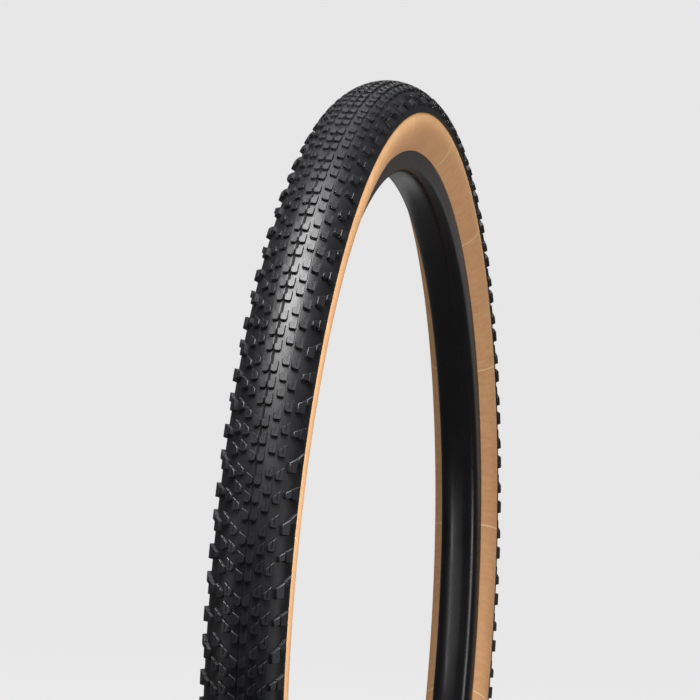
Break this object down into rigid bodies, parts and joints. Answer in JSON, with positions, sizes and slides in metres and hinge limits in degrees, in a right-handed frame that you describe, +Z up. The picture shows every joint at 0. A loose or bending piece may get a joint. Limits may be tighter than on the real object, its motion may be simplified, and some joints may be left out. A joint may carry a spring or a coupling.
{
  "type": "bicycle tire",
  "caption": "Knobbly gravel bicycle tire with black tread and tan sidewalls, mounted on a plain black rim with a tubeless valve.",
  "frame": {"origin": "the wheel's centre, on the axle's line and in the middle plane of the tire", "axes": "+Y along the axle, towards the left side; +Z up; the valve is at the bottom, pointing up at the axle"},
  "size_m": [0.7226, 0.048, 0.7226],
  "materials": {
    "tread_rubber": "satin moulded black rubber",
    "tan_rubber": "tan skin rubber over diagonal cords, satin",
    "belt_fabric": "woven aramid",
    "casing_fabric": "rubbered nylon cord",
    "liner_rubber": "smooth butyl",
    "bead_cord": "bundled aramid cord",
    "black_rubber": "matt black rubber",
    "chafer_fabric": "rubbered woven strip",
    "black_anodised": "satin black",
    "tape_film": "translucent yellow film",
    "brass": "machined",
    "black_plastic": "smooth moulded"
  },
  "bodies": {
    "wheel": {"tread_cap": "tread_rubber", "puncture_belt": "belt_fabric", "sidewall_left": "tan_rubber", "sidewall_right": "tan_rubber", "casing_outer_ply": "casing_fabric", "casing_inner_ply": "casing_fabric", "air_liner": "liner_rubber", "bead_core_left": "bead_cord", "bead_core_right": "bead_cord", "bead_filler_left": "black_rubber", "bead_filler_right": "black_rubber", "chafer_left": "chafer_fabric", "chafer_right": "chafer_fabric", "rim": "black_anodised", "rim_tape": "tape_film", "valve_foot": "black_rubber", "valve_stem": "brass", "valve_seal_ring": "black_rubber", "valve_core": "brass"},
    "lock_nut": {"valve_lock_nut": "black_anodised"},
    "core_pin": {"valve_core_pin": "brass"},
    "core_nut": {"valve_core_nut": "brass"},
    "cap": {"valve_cap": "black_plastic"}
  },
  "joints": [
    {"name": "lock_nut_turn", "type": "hinge", "parent": "wheel", "child": "lock_nut", "pos_m": [0, 0, -0.297], "axis": [0, 0, 1], "range_deg": [0, 720]},
    {"name": "core_pin_press", "type": "slide", "parent": "wheel", "child": "core_pin", "axis": [0, 0, -1], "range_m": [0, 0.002], "stiffness_N_per_m": 100, "springref_m": -0.002},
    {"name": "core_nut_turn", "type": "hinge", "parent": "core_pin", "child": "core_nut", "pos_m": [0, 0, -0.256], "axis": [0, 0, 1], "range_deg": [0, 1440]},
    {"name": "cap_pull", "type": "slide", "parent": "wheel", "child": "cap", "axis": [0, 0, 1], "range_m": [0, 0.03]}
  ]
}
